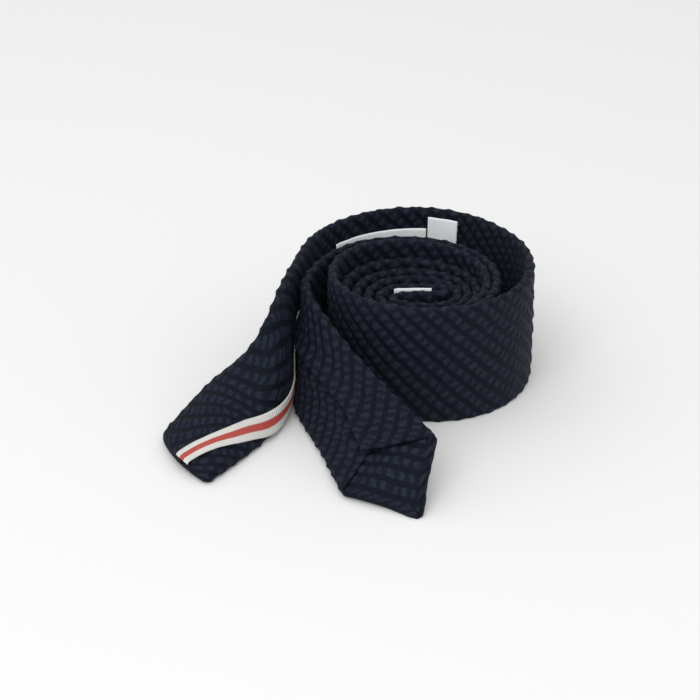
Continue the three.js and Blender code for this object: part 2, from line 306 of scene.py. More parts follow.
# Height of the puckers at a place on the flat cloth.
def puckerAt(flatU, flatV):
    bands = (flatU + flatV) * diagonal / cloth["band"]
    waves = (flatU - flatV) * diagonal / cloth["wave"]
    row = math.floor(bands)
    place = (bands - row) / cloth["puffed"]
    if place >= 1:
        return 0
    bulge = math.sin(math.pi * place) ** 0.8
    wander = noise.noise(Vector((waves * 0.35, row * 3.1, 0.5)))
    wave = 0.5 + 0.5 * math.sin(math.tau * waves + row * 2.4 + 2.6 * wander)
    size = 0.8 + 0.6 * noise.noise(Vector((waves * 0.5, row * 1.7, 7)))
    return cloth["height"] * bulge * (0.15 + 0.85 * wave) * size


def pieceFrom(bm, name):
    mesh = bpy.data.meshes.new(name)
    bm.to_mesh(mesh)
    bm.free()
    piece = bpy.data.objects.new(name, mesh)
    bpy.context.collection.objects.link(piece)
    return piece


# A grid whose points are placed one by one; flat gives each point its cloth coordinates.
def gridPiece(name, rows, columns, place, outward=None):
    bm = bmesh.new()
    bmesh.ops.create_grid(bm, x_segments=rows - 1, y_segments=columns - 1, size=0.5)
    bm.verts.ensure_lookup_table()
    flat = {}
    for vert in bm.verts:
        i = round((vert.co.x + 0.5) * (rows - 1))
        j = round((vert.co.y + 0.5) * (columns - 1))
        vert.co, flat[vert.index] = place(i, j)
    layer = bm.loops.layers.uv.new("UVMap")
    for face in bm.faces:
        face.smooth = True
        for loop in face.loops:
            u, v = flat[loop.vert.index]
            loop[layer].uv = (u * uvScale, v * uvScale)
    bm.normal_update()
    if outward:
        i, j, way = outward
        at = place(i, j)[0]
        near = min(bm.verts, key=lambda vert: (vert.co - at).length_squared)
        if near.normal.dot(way) < 0:
            bmesh.ops.reverse_faces(bm, faces=bm.faces[:])
    return pieceFrom(bm, name)


def thicken(piece, thickness):
    shell = piece.modifiers.new("thickness", "SOLIDIFY")
    shell.thickness = thickness
    shell.offset = -1
    shell.use_quality_normals = True
    return piece


def rowsOf(low, high, stepAt):
    rows = [low]
    while rows[-1] + stepAt(rows[-1]) < high:
        rows.append(rows[-1] + stepAt(rows[-1]))
    rows[-1] = (rows[-1] + rows[-2]) / 2 if high - rows[-1] < 0.3 * mm else rows[-1]
    return rows + [high]


narrowTip = {
    "length": 25 * mm,       # from the tip to the shoulders
    "hem": 2.8 * mm,
    "notch": 11 * mm,        # from the shoulders to where the flaps meet
    "seam": -4.6 * mm,       # where they meet, off the middle
    "blunt": 1.6 * mm,
    "reach": 4 * mm,         # how far the tip is pulled out
}


# The narrow end's back seam: off the middle at the point, back over it further up.
def narrowSeam(s):
    wander = 7.1 * smooth(38 * mm, 74 * mm, s) - 2.5 * smooth(90 * mm, 130 * mm, s)
    return narrowTip["seam"] + wander * mm


# Where the flaps end in the narrow point: along two lines from the seam to the shoulders.
def armAt(v):
    half, seam = tie["narrow"] / 2, narrowTip["seam"]
    share = (half - v) / (half - seam) if v > seam else (half + v) / (half + seam)
    return narrowTip["length"] + narrowTip["notch"] * share


# The two folded edges in the narrow point, each held back to the hem.
def openingAt(s):
    half, seam = tie["narrow"] / 2, narrowTip["seam"]
    share = (narrowTip["length"] + narrowTip["notch"] - s) / narrowTip["notch"]
    upper = seam + (half - seam) * share
    lower = seam - (half + seam) * share
    least = max(0.12 * mm, s - narrowTip["hem"] * math.sqrt(2))
    return min(least, upper), max(-least, lower)


# A folded edge from the inside out: (distance from the edge, depth), in mm.
lipShape = ((4, 1.72), (1.1, 1.78), (0.2, 1.95), (0, 2.2), (0.3, 2.42), (1.2, 2.48))


# The back stands proud beside a seam, and the upper flap most; over the open point it lifts.
def backLift(s, v, seam, closed, lip):
    beside = v - seam
    lift = 0
    if beside > -1 * mm:
        lift -= lip * smooth(9 * mm, 0, beside) * smooth(32 * mm, 38 * mm, s)
    if beside < -0.5 * mm and closed:
        bank = smooth(-11 * mm, -4 * mm, beside) * smooth(-0.5 * mm, -2.8 * mm, beside)
        lift -= 0.55 * lip * bank * smooth(36 * mm, 46 * mm, s)
    if s < 60 * mm:
        over = s - armAt(v)
        flap = smooth(-0.5 * mm, 0.5 * mm, over)
        puffed = (2.2 if v > narrowTip["seam"] else 0.3) * mm * smooth(10 * mm, 0, over)
        puffed *= 1 - 0.8 * smooth(12 * mm, 24 * mm, v)
        lift += 0.45 * mm * (1 - flap) - puffed * flap
    return lift


# One station of the folded strip: a list of (v, w, normal v, normal w, flat v, pucker share).
def foldedSection(s, half, squash, opening, cut):
    r = cloth["edge"]
    tuck = cloth["tuck"]
    side = max(half, r + 0.05 * mm) - r
    seam, below = opening or (cut["seamAt"](s), 0)
    opened = 0
    if opening:
        opened = smooth(0, 2.5 * mm, seam - below) if s > narrowTip["length"] else 1
    lower = (cloth["overlap"] + seam) * (1 - opened) + below * opened
    flatTurn = math.pi * r
    points = []

    def lip(edge, way, sunk):
        flat = way * (side + flatTurn + side) - edge - way * mm
        for back, depth in lipShape:
            w = -depth * mm * (1 - sunk) - 1.4 * mm * sunk
            v = edge + way * back * mm
            v = min(v, side) if way > 0 else max(v, -side)
            points.append((v, w, 0, -1, flat, 0.3))

    count = cut["flap"]
    lip(seam, 1, 0)
    for k in range(1, count + 1):
        v = seam + tuck + (side - seam - tuck) * k / (count + 1)
        near = smooth(9 * mm, tuck, v - seam)
        flat = side + flatTurn + side - v
        points.append((v, -r - 0.55 * mm * near, 0, -1, flat, 1 - 0.7 * near))
    for k in range(cut["edge"] + 1):
        angle = -math.pi / 2 + math.pi * k / cut["edge"]
        c, d = math.cos(angle), math.sin(angle)
        points.append((side + r * c, r * d, c, d, side + r * (math.pi / 2 - angle), 1))
    for k in range(1, cut["front"]):
        v = side - 2 * side * k / cut["front"]
        points.append((v, r, 0, 1, v, 1))
    for k in range(cut["edge"] + 1):
        angle = math.pi / 2 - math.pi * k / cut["edge"]
        c, d = math.cos(angle), math.sin(angle)
        points.append((-side - r * c, r * d, -c, d, -side - r * (math.pi / 2 - angle), 1))
    for k in range(1, count + 1):
        last = lower - tuck * opened
        v = -side + (last + side) * k / (count + 1)
        under = smooth(-4 * mm, -0.5 * mm, v - seam) * (1 - opened)
        near = smooth(-9 * mm, -tuck, v - lower) * opened
        points.append((v, -r - 0.55 * mm * near + cut["groove"] * under, 0, -1,
                       -side - flatTurn - (v + side), 1 - under))
    first = len(points)
    lip(lower, -1, 1 - opened)
    points[first:] = points[first:][::-1]
    finished = []
    for v, w, nv, nw, flat, share in points:
        if nw == -1:
            w += backLift(s, v, seam, not opened, cut["lip"])
        finished.append((v, w * squash, nv, nw, flat, share))
    return finished


# How each end of a panel closes: (share of the thickness, share of the puckers, narrower by).
def endShape(end, gap):
    if end == "under":      # slips under the next panel
        return 1 - 0.3 * smooth(2 * mm, 0.8 * mm, gap), smooth(0.8 * mm, 2.5 * mm, gap), 0
    if end == "over":       # covers the next panel's edge
        return 1 - 0.12 * smooth(0.8 * mm, 0, gap), smooth(-0.3 * mm, 1.5 * mm, gap), 0
    closed = math.sqrt(max(0.004, 1 - (1 - min(1, gap / cloth["edge"])) ** 2))
    corner = cloth["corner"]
    taken = 0
    if end == "square" and gap < corner:
        taken = corner * (1 - math.sqrt(max(0, 1 - (1 - gap / corner) ** 2)))
    return closed, smooth(0, 3 * mm, gap), taken


# A folded panel of the tie; cut says how fine it is, and where and how its back seam lies.
def clothPanel(name, low, high, stepAt, cut, endLow, endHigh):
    rows = rowsOf(low, high, stepAt)
    stations = []
    for s in rows:
        middle, across, front, half = stripAt(s)
        if s < narrowTip["length"]:
            taper = half * s / narrowTip["length"]
            half = max(1.1 * mm, taper + narrowTip["blunt"] * smooth(12 * mm, 1 * mm, s))
        opening = openingAt(s) if s < narrowTip["length"] + narrowTip["notch"] else None
        squash, calm = 1, 1
        for gap, end in ((s - low, endLow), (high - s, endHigh)):
            thinner, calmer, taken = endShape(end, gap)
            squash *= thinner
            calm *= calmer
            half -= taken
        stations.append((s, middle, across, front, half, calm,
                         foldedSection(s, half, squash, opening, cut)))
    count = len(stations[0][6])
    run = [[row[0]] * count for row in stations]
    for i in range(1, len(stations)):
        for j in range(count):
            step = (stations[i][0] - stations[i - 1][0])
            if stations[i][0] > wideCutAt - 25 * mm:    # the wide end is stretched over its arch
                here, before = (stations[k][1] + stations[k][2] * stations[k][6][j][0]
                                for k in (i, i - 1))
                step += 0.55 * ((here - before).length - step)
            run[i][j] = run[i - 1][j] + step

    def place(i, j):
        s, middle, across, front, half, calm, section = stations[i]
        v, w, nv, nw, flat, share = section[j]
        rise = puckerAt(run[i][j], flat) * share * calm
        spread = min(1, max(-1, v / half))
        lift = w + nw * rise - archAt(s) * (1 - spread ** 2)
        spot = middle + across * (v + nv * rise) + front * lift
        return sway(spot + across.cross(front) * slideAt(s, spread)), (run[i][j], flat)

    frontAt = len(lipShape) + cut["flap"] + cut["edge"] + 1 + cut["front"] // 2
    row = len(stations) // 2
    panel = gridPiece(name, len(stations), count, place, (row, frontAt, stations[row][3]))
    return thicken(panel, cloth["layer"])


# The tape and the seam under it leave the middle of the strip, towards the lower edge.
def tapeDrift(s):
    left = tieLength - s
    return -(5.5 + 10.5 * smooth(0, 38 * mm, left)) * mm * smooth(112 * mm, 82 * mm, left)


wideCut = {
    "flap": 17,              # points across each flap, round each edge and across the front
    "edge": 5,
    "front": 40,
    "groove": 0.5 * mm,      # how deep the lower flap sinks under the upper one
    "lip": 0,                # how proud the upper flap stands at the seam
    "seamAt": tapeDrift,
    "hiddenStep": 2.2 * mm,
    "step": 1.32 * mm,
    "seenFrom": 1200 * mm,
}
widePanel = clothPanel(
    "widePanel", wideSeamAt + 0.3 * mm, tieLength,
    lambda s: wideCut["hiddenStep"] if s < wideCut["seenFrom"] else wideCut["step"],
    wideCut, "under", "square")
print("wide panel:", len(widePanel.data.polygons), "faces")

neckCut = {
    "flap": 10,
    "edge": 5,
    "front": 26,
    "groove": 0.5 * mm,
    "lip": 0,
    "seamAt": lambda s: 0,
    "step": 1.3 * mm,
}
neckPanel = clothPanel("neckPanel", narrowSeamAt - 1 * mm, wideSeamAt + 1 * mm,
                       lambda s: neckCut["step"], neckCut, "over", "over")

narrowCut = {
    "flap": 23,
    "edge": 5,
    "front": 36,
    "groove": 1.2 * mm,
    "lip": 3.2 * mm,
    "seamAt": narrowSeam,
    "pointStep": 0.55 * mm,
    "step": 1.25 * mm,
    "hiddenStep": 2 * mm,
}


def narrowStepAt(s):
    if 20 * mm < s < 44 * mm:
        return narrowCut["pointStep"]
    return narrowCut["step"] if s < 190 * mm else narrowCut["hiddenStep"]


narrowPanel = clothPanel("narrowPanel", 0.2 * mm, narrowSeamAt - 0.3 * mm, narrowStepAt,
                         narrowCut, "tip", "under")
print("narrow panel:", len(narrowPanel.data.polygons), "faces")

shift = tie["rollMiddle"]
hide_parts("wide_blade_roll", "wide_blade_end")
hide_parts("neck_band")
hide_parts("narrow_blade_roll", "narrow_blade_end")
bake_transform(widePanel)
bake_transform(narrowPanel)
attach(neckPanel, "roll")


# A thin flat trim on the back of the strip, with its long edges rolled in a little.
def trimPiece(name, low, high, trim, drift=lambda s: 0):
    left, right = trim["across"]
    rows = max(3, round((high - low) / trim["stepAlong"]) + 1)
    columns = max(4, round((right - left) / trim["stepAcross"]) + 1)

    def place(i, j):
        s = low + (high - low) * i / (rows - 1)
        v = left + (right - left) * j / (columns - 1)
        rim = min(j, columns - 1 - j, 1) * 0.12 * mm
        ripple = trim["wave"] * noise.noise(Vector((s * 160, v * 60, low * 50)))
        nearEnd = min(1, (tieLength - s) / cloth["edge"])
        sink = 1 - 0.6 * (1 - math.sqrt(max(0, 1 - (1 - nearEnd) ** 2)))
        spot = onStrip(s, v + drift(s), (-trim["depth"] - rim - ripple) * sink)
        return sway(spot), (s - low, v)

    front = stripAt((low + high) / 2)[2]
    piece = gridPiece(name, rows, columns, place, (rows // 2, columns // 2, -front))
    return thicken(piece, trim["thick"])


tape = {
    "width": 10 * mm,
    "across": (-5 * mm, 5 * mm),
    "run": 30 * mm,          # how far it runs on into the roll
    "depth": 3.2 * mm,
    "thick": 0.55 * mm,
    "wave": 0.25 * mm,
    "stepAlong": 0.9 * mm,
    "stepAcross": 0.75 * mm,
}
tapeFrom = wideCutAt - 1.1 * mm - tape["run"]
stripedTape = trimPiece("stripedTape", tapeFrom, tieLength - 0.3 * mm, tape, tapeDrift)
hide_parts("striped_tape_roll", "striped_tape_end")
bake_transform(stripedTape)

keeper = {
    "turn": 2.795,           # turns of the roll from the fold to the label's middle
    "length": 56 * mm,
    "across": (-19 * mm, 19.5 * mm),
    "flat": (36 * mm, 56 * mm),
    "depth": 3.1 * mm,
    "thick": 0.45 * mm,
    "wave": 0.3 * mm,
    "stepAlong": 1 * mm,
    "stepAcross": 1 * mm,
}
keeperSpot = rollPoint(keeper["turn"], "wide") + shift
keeperAt = min((s * mm for s in range(900, 1500)),
               key=lambda s: ((stripAt(s)[0] - keeperSpot).xy).length)
keeperFrom = keeperAt - keeper["length"] / 2
keeperLabel = trimPiece("keeperLabel", keeperFrom, keeperFrom + keeper["length"], keeper)
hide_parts("keeper_label")
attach(keeperLabel, "roll")

care = {
    "length": 17 * mm,
    "gap": 0.8 * mm,         # from the keeper label
    "across": (-2 * mm, 26 * mm),
    "flat": (28 * mm, 17 * mm),
    "depth": 3.1 * mm,
    "thick": 0.5 * mm,
    "wave": 0.5 * mm,
    "stepAlong": 0.7 * mm,
    "stepAcross": 0.8 * mm,
}
careFrom = keeperFrom - care["gap"] - care["length"]
careLabel = trimPiece("careLabel", careFrom, careFrom + care["length"], care)
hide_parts("care_label")
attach(careLabel, "care_flap")

tab = {
    "reach": (9 * mm, 29 * mm),    # from the fold
    "across": (-7 * mm, 17.4 * mm),
    "flat": (22 * mm, 20 * mm),
    "depth": 3.1 * mm,
    "thick": 0.45 * mm,
    "wave": 0.4 * mm,
    "stepAlong": 0.8 * mm,
    "stepAcross": 0.9 * mm,
}
neckTab = trimPiece("neckTab", foldAt + tab["reach"][0], foldAt + tab["reach"][1], tab)
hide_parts("neck_tab")
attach(neckTab, "roll")


tipping = {
    "start": 3.4 * mm,
    "length": 45 * mm,
    "inset": 2.2 * mm,
    "depth": 1.05 * mm,
    "thick": 0.3 * mm,
    "flat": (46 * mm, 45 * mm),
    "share": 0.74,           # of that rectangle, as its end is cut to a point
    "rows": 45,
    "columns": 33,
}


# Lining that shows in the open point of the narrow end; it lies flat where the flaps cover it.
def tippingPlace(i, j):
    s = tipping["start"] + tipping["length"] * i / (tipping["rows"] - 1)
    half = stripAt(s)[3] * min(1, s / narrowTip["length"])
    v = max(0.4 * mm, half - tipping["inset"]) * (2 * j / (tipping["columns"] - 1) - 1)
    upper, lower = openingAt(s)
    bare = smooth(2 * mm, 0.5 * mm, max(v - upper, lower - v))
    rise = (0.25 * mm + 0.8 * puckerAt(s, v)) * bare
    return sway(onStrip(s, v, -tipping["depth"] - rise)), (s, v)


tippingPanel = gridPiece("tippingPanel", tipping["rows"], tipping["columns"], tippingPlace,
                         (22, 16, -stripAt(27 * mm)[2]))
thicken(tippingPanel, tipping["thick"])
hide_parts("narrow_tipping")
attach(tippingPanel, "narrow_end")


interlining = {"thick": 1.2 * mm, "inset": 3 * mm, "step": 3.5 * mm, "columns": 17}


# Wool interlining inside the folded cloth, one length for each panel.
def interliningPiece(name, low, high, node):
    rows = round((high - low) / interlining["step"]) + 1
    middle = interlining["columns"] // 2

    def place(i, j):
        s = low + (high - low) * i / (rows - 1)
        half = stripAt(s)[3] * min(1, s / narrowTip["length"])
        v = max(0.5 * mm, half - interlining["inset"]) * (j / middle - 1)
        return sway(onStrip(s, v, interlining["thick"] / 2)), (s, v)

    piece = gridPiece(name, rows, interlining["columns"], place,
                      (rows // 2, middle, stripAt((low + high) / 2)[2]))
    thicken(piece, interlining["thick"])
    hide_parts(node)
    return piece


interliningNarrow = interliningPiece("interliningNarrow", 6 * mm, narrowSeamAt - 4 * mm,
                                     "interlining_narrow_end")
interliningNeck = interliningPiece("interliningNeck", narrowSeamAt - 2 * mm, wideSeamAt + 2 * mm,
                                   "interlining_roll")
interliningWide = interliningPiece("interliningWide", wideSeamAt + 4 * mm, tieLength - 9 * mm,
                                   "interlining_wide_end")
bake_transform(interliningNarrow)
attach(interliningNeck, "roll")
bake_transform(interliningWide)
print("trims laid on")


thread = {
    "sides": 6,
    "radius": 0.22 * mm,
    "length": 4.2 * mm,      # of a slip stitch
    "pitch": 11 * mm,
    "labelRadius": 0.14 * mm,
    "labelLength": 1.6 * mm,
    "labelPitch": 2.4 * mm,
    "looseRadius": 0.1 * mm,
}


# Several short closed threads in one piece; each path is a list of points.
def threadPiece(name, paths, radius, body, node):
    bm = bmesh.new()
    sides = thread["sides"]
    for path in paths:
        made = bmesh.ops.create_grid(bm, x_segments=len(path) - 1, y_segments=sides, size=0.5)
        ends = (path[1] - path[0], path[-1] - path[-2])
        for vert in made["verts"]:
            i = round((vert.co.x + 0.5) * (len(path) - 1))
            angle = round((vert.co.y + 0.5) * sides) * math.tau / sides
            inside = 0 < i < len(path) - 1
            along = path[i + 1] - path[i - 1] if inside else ends[0] if i == 0 else ends[1]
            side = along.cross(up if abs(along.normalized().z) < 0.9 else Vector((1, 0, 0)))
            side.normalize()
            over = side.cross(along).normalized()
            r = radius if inside else 0
            vert.co = path[i] + (side * math.cos(angle) + over * math.sin(angle)) * r
    bmesh.ops.remove_doubles(bm, verts=bm.verts[:], dist=1e-6)
    bmesh.ops.recalc_face_normals(bm, faces=bm.faces[:])
    for face in bm.faces:
        face.smooth = True
    piece = pieceFrom(bm, name)
    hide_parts(node)
    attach(piece, body)
    return piece


# Slip stitches: short slanted threads that catch the folded edge of the upper flap.
def slipStitches(low, high):
    paths = []
    s = low
    while s + thread["length"] < high:
        paths.append([sway(onStrip(s + thread["length"] * k / 6,
                                   (0.5 - 1.2 * k / 6) * mm,
                                   (-2.5 - 0.45 * math.sin(math.pi * k / 6)) * mm))
                      for k in range(7)])
        s += thread["pitch"]
    return paths


# A bar tack: a few straight threads side by side, wrapped by close turns.
def barTack(s):
    paths = []
    for lane in (-0.45, 0, 0.45):
        paths.append([sway(onStrip(s + lane * mm, (-3.4 + 6.8 * k / 8) * mm,
                                   (-2.35 - 0.3 * math.sin(math.pi * k / 8)) * mm))
                      for k in range(9)])
    for wrap in range(9):
        v = (-2.6 + 5.2 * wrap / 8) * mm
        paths.append([sway(onStrip(s + (0.9 * k / 4 - 0.9) * mm, v + 0.08 * k * mm,
                                   (-2.3 - 0.6 * math.sin(math.pi * k / 8)) * mm))
                      for k in range(9)])
    return paths


# Small loose threads along the free edge of the care label.
def looseThreads():
    paths = []
    for k in range(9):
        v = (1 + 24 * k / 8 + 0.7 * math.sin(k * 2.3)) * mm
        reach = (0.9 + 0.6 * math.sin(k * 1.9)) * mm
        paths.append([sway(onStrip(careFrom + (0.4 * mm if m == 0 else 0) - reach * m / 4,
                                   v + 0.3 * mm * math.sin(m * 1.3 + k),
                                   -care["depth"] - (0.3 + 0.12 * m * math.cos(k)) * mm))
                      for m in range(5)])
    return paths


# A line of small stitches across one end of the keeper label.
def labelStitches(s):
    paths = []
    v = -18 * mm
    while v + thread["labelLength"] < 18.5 * mm:
        stitch = []
        for m in range(7):
            rise = (0.28 + 0.3 * math.sin(math.pi * m / 6)) * mm
            stitch.append(sway(onStrip(s, v + thread["labelLength"] * m / 6,
                                       -keeper["depth"] - rise)))
        paths.append(stitch)
        v += thread["labelPitch"]
    return paths


narrowTackAt = 47 * mm
wideTackAt = tapeFrom - 8 * mm
stitchPieces = [
    threadPiece("stitchesNarrowEnd", slipStitches(narrowTackAt + 4 * mm, narrowCutAt - 2 * mm),
                thread["radius"], "narrow_end", "slip_stitch_narrow_end"),
    threadPiece("stitchesRoll", slipStitches(narrowCutAt + 2 * mm, narrowSeamAt - 4 * mm)
                + slipStitches(wideSeamAt + 4 * mm, wideTackAt - 4 * mm),
                thread["radius"], "roll", "slip_stitch_roll"),
    threadPiece("tackNarrow", barTack(narrowTackAt), thread["radius"], "narrow_end",
                "bar_tack_narrow"),
    threadPiece("tackWide", barTack(wideTackAt), thread["radius"], "roll", "bar_tack_wide"),
]
labelThreads = [
    threadPiece("careLabelThreads", looseThreads(), thread["looseRadius"], "care_flap",
                "care_label"),
    threadPiece("keeperStitches", labelStitches(keeperFrom + 2 * mm)
                + labelStitches(keeperFrom + keeper["length"] - 2 * mm),
                thread["labelRadius"], "roll", "keeper_label"),
]
print("threads sewn")


# Adds a node, sets its values and fills or links its inputs.
def addNode(tree, kind, inputs=None, **values):
    node = tree.nodes.new(kind)
    for key, value in values.items():
        setattr(node, key, value)
    for key, value in (inputs or {}).items():
        if isinstance(value, bpy.types.NodeSocket):
            tree.links.new(value, node.inputs[key])
        else:
            node.inputs[key].default_value = value
    return node


def mathNode(tree, operation, a, b=0.0, c=0.0):
    return addNode(tree, "ShaderNodeMath", {0: a, 1: b, 2: c}, operation=operation).outputs[0]


def rangeNode(tree, value, low, high, toLow=0.0, toHigh=1.0):
    inputs = {"Value": value, "From Min": low, "From Max": high, "To Min": toLow, "To Max": toHigh}
    return addNode(tree, "ShaderNodeMapRange", inputs,
                   interpolation_type="SMOOTHSTEP").outputs["Result"]


def groupOf(name, inputs, outputs):
    group = bpy.data.node_groups.new(name, "ShaderNodeTree")
    for label, kind, value in inputs:
        socket = group.interface.new_socket(label, in_out="INPUT", socket_type=kind)
        if value is not None:
            socket.default_value = value
    for label in outputs:
        group.interface.new_socket(label, in_out="OUTPUT", socket_type="NodeSocketFloat")
    return group, group.nodes.new("NodeGroupInput"), group.nodes.new("NodeGroupOutput")


# Puckered bands on the bias: where they are, how high each crest stands, and a height in mm.
seersucker, gIn, gOut = groupOf(
    "seersuckerBands",
    [("Flat", "NodeSocketVector", None), ("Band", "NodeSocketFloat", cloth["band"] * uvScale),
     ("Wave", "NodeSocketFloat", cloth["wave"] * uvScale),
     ("Puffed", "NodeSocketFloat", cloth["puffed"])],
    ["Puff", "Crest", "Height"])
flat = addNode(seersucker, "ShaderNodeSeparateXYZ", {0: gIn.outputs["Flat"]})
total = mathNode(seersucker, "ADD", flat.outputs[0], flat.outputs[1])
apart = mathNode(seersucker, "SUBTRACT", flat.outputs[0], flat.outputs[1])
wander = addNode(seersucker, "ShaderNodeTexNoise",
                 {"Vector": gIn.outputs["Flat"], "Scale": 9.0, "Detail": 2.0})
bands = mathNode(seersucker, "DIVIDE", mathNode(seersucker, "MULTIPLY", total, diagonal),
                 gIn.outputs["Band"])
edgeShift = mathNode(seersucker, "MULTIPLY_ADD", wander.outputs[0], 0.36, -0.18)
bands = mathNode(seersucker, "ADD", bands, edgeShift)
waves = mathNode(seersucker, "DIVIDE", mathNode(seersucker, "MULTIPLY", apart, diagonal),
                 gIn.outputs["Wave"])
row = mathNode(seersucker, "FLOOR", bands)
place = mathNode(seersucker, "DIVIDE", mathNode(seersucker, "FRACT", bands),
                 gIn.outputs["Puffed"])
fromMiddle = mathNode(seersucker, "ABSOLUTE", mathNode(seersucker, "SUBTRACT", place, 0.5))
puff = rangeNode(seersucker, fromMiddle, 0.52, 0.36)
loose = mathNode(seersucker, "MULTIPLY_ADD", wander.outputs[0], 9.0, -4.5)
phase = mathNode(seersucker, "ADD", mathNode(seersucker, "MULTIPLY", row, 2.4), loose)
wave = mathNode(seersucker, "SINE",
                mathNode(seersucker, "MULTIPLY_ADD", waves, math.tau, phase))
crest = mathNode(seersucker, "MULTIPLY", rangeNode(seersucker, wave, -0.75, 0.55), puff)
pleat = mathNode(seersucker, "SINE",
                 mathNode(seersucker, "MULTIPLY_ADD", waves, 2.7 * math.tau, phase))
pleat = mathNode(seersucker, "MULTIPLY", pleat, puff)
height = mathNode(seersucker, "MULTIPLY_ADD", crest, 0.3,
                  mathNode(seersucker, "MULTIPLY", puff, 0.12))
height = mathNode(seersucker, "ADD", height, mathNode(seersucker, "MULTIPLY", pleat, 0.05))
for label, socket in (("Puff", puff), ("Crest", crest), ("Height", height)):
    seersucker.links.new(socket, gOut.inputs[label])

# Plain weave of warp and weft: a height in mm and a mask of the threads on top.
weave, gIn, gOut = groupOf(
    "plainWeave",
    [("Flat", "NodeSocketVector", None), ("Threads", "NodeSocketFloat", 160.0)],
    ["Over", "Height"])
flat = addNode(weave, "ShaderNodeSeparateXYZ", {0: gIn.outputs["Flat"]})
turn = mathNode(weave, "MULTIPLY", gIn.outputs["Threads"], math.pi)
warp = mathNode(weave, "SINE", mathNode(weave, "MULTIPLY", flat.outputs[0], turn))
weft = mathNode(weave, "SINE", mathNode(weave, "MULTIPLY", flat.outputs[1], turn))
over = mathNode(weave, "MULTIPLY_ADD", mathNode(weave, "MULTIPLY", warp, weft), 0.5, 0.5)
weave.links.new(over, gOut.inputs["Over"])
weave.links.new(mathNode(weave, "MULTIPLY", over, 0.1), gOut.inputs["Height"])


def newMaterial(name):
    material = bpy.data.materials.new(name)
    material.use_nodes = True
    tree = material.node_tree
    shader = tree.nodes["Principled BSDF"]
    return material, tree, shader


def useGroup(tree, group, inputs):
    return addNode(tree, "ShaderNodeGroup", inputs, node_tree=group)


def mixColour(tree, factor, a, b):
    node = tree.nodes.new("ShaderNodeMix")
    node.data_type = "RGBA"
    for socket, value in ((node.inputs[0], factor), (node.inputs[6], a), (node.inputs[7], b)):
        if isinstance(value, bpy.types.NodeSocket):
            tree.links.new(value, socket)
        else:
            socket.default_value = value if isinstance(value, float) else (*value, 1)
    return node.outputs[2]


def bumpTo(tree, shader, height, distance=mm, strength=1.0):
    bump = addNode(tree, "ShaderNodeBump",
                   {"Height": height, "Distance": distance, "Strength": strength})
    tree.links.new(bump.outputs[0], shader.inputs["Normal"])


finish = {
    "bandLight": (0.0085, 0.0112, 0.0205),
    "bandDark": (0.0046, 0.0060, 0.0110),
    # painted highlight: the lightened colour of the pucker crests
    "crestHighlight": (0.0235, 0.0300, 0.0480),
    "tapeWhite": (0.78, 0.77, 0.74),
    "tapeRed": (0.5, 0.05, 0.035),
    "label": (0.95, 0.965, 0.99),
    "thread": (0.008, 0.011, 0.022),
    "labelThread": (0.85, 0.88, 0.93),
    "felt": (0.035, 0.036, 0.042),
    # painted shade in the grooves between the tape's ribs
    "tapeGrooveShade": (0.21, 0.1575, 0.147),
    "labelShade": (0.8, 0.84, 0.9),
}


def clothMaterial(name, crestHighlightShare):
    material, tree, shader = newMaterial(name)
    flatMap = tree.nodes.new("ShaderNodeUVMap").outputs[0]
    bands = useGroup(tree, seersucker, {"Flat": flatMap})
    threads = useGroup(tree, weave, {"Flat": flatMap, "Threads": 190.0})
    patch = addNode(tree, "ShaderNodeTexNoise", {"Vector": flatMap, "Scale": 30.0, "Detail": 4.0})
    base = mixColour(tree, bands.outputs["Puff"], finish["bandDark"], finish["bandLight"])
    # Painted highlight: the crests of the puckers are lightened, more in random patches, as if lit
    # from above.
    lit = mathNode(tree, "MULTIPLY", bands.outputs["Crest"],
                   rangeNode(tree, patch.outputs[0], 0.3, 0.7, 0.4 * crestHighlightShare, crestHighlightShare))
    base = mixColour(tree, lit, base, finish["crestHighlight"])
    base = mixColour(tree, mathNode(tree, "MULTIPLY", threads.outputs["Over"], 0.35), base,
                     finish["bandDark"])
    tree.links.new(base, shader.inputs["Base Color"])
    rough = rangeNode(tree, bands.outputs["Puff"], 0, 1, 0.62, 0.78)
    tree.links.new(rough, shader.inputs["Roughness"])
    shader.inputs["Sheen Weight"].default_value = 0.03
    shader.inputs["Sheen Roughness"].default_value = 0.4
    shader.inputs["Sheen Tint"].default_value = (0.6, 0.68, 0.9, 1)
    shader.inputs["Specular IOR Level"].default_value = 0.08
    height = mathNode(tree, "ADD", bands.outputs["Height"], threads.outputs["Height"])
    bumpTo(tree, shader, height)
    return material


# Ribbed tape: red along the middle, white on both sides, with painted shade in the grooves between
# the ribs.
def tapeMaterial():
    material, tree, shader = newMaterial("ribbedTape")
    flatMap = tree.nodes.new("ShaderNodeUVMap").outputs[0]
    place = addNode(tree, "ShaderNodeSeparateXYZ", {0: flatMap})
    rib = mathNode(tree, "SINE", mathNode(tree, "MULTIPLY", place.outputs[0],
                                          math.tau / (0.95 * mm * uvScale)))
    rib = mathNode(tree, "MULTIPLY_ADD", rib, 0.5, 0.5)
    fromMiddle = mathNode(tree, "ABSOLUTE", place.outputs[1])
    fray = mathNode(tree, "MULTIPLY_ADD", rib, 0.0022, fromMiddle)
    red = rangeNode(tree, fray, 0.0190, 0.0168)
    base = mixColour(tree, red, finish["tapeWhite"], finish["tapeRed"])
    # Painted shade: the grooves between the ribs are darkened towards a brownish grey.
    groove = mathNode(tree, "MULTIPLY", rangeNode(tree, rib, 0.35, 0.0), 0.42)
    base = mixColour(tree, groove, base, finish["tapeGrooveShade"])
    tree.links.new(base, shader.inputs["Base Color"])
    tree.links.new(rangeNode(tree, rib, 0, 1, 0.75, 0.5), shader.inputs["Roughness"])
    fibre = addNode(tree, "ShaderNodeTexNoise", {"Vector": flatMap, "Scale": 260.0, "Detail": 2.0})
    height = mathNode(tree, "MULTIPLY_ADD", rib, 0.22,
                      mathNode(tree, "MULTIPLY", fibre.outputs[0], 0.08))
    bumpTo(tree, shader, height)
    return material


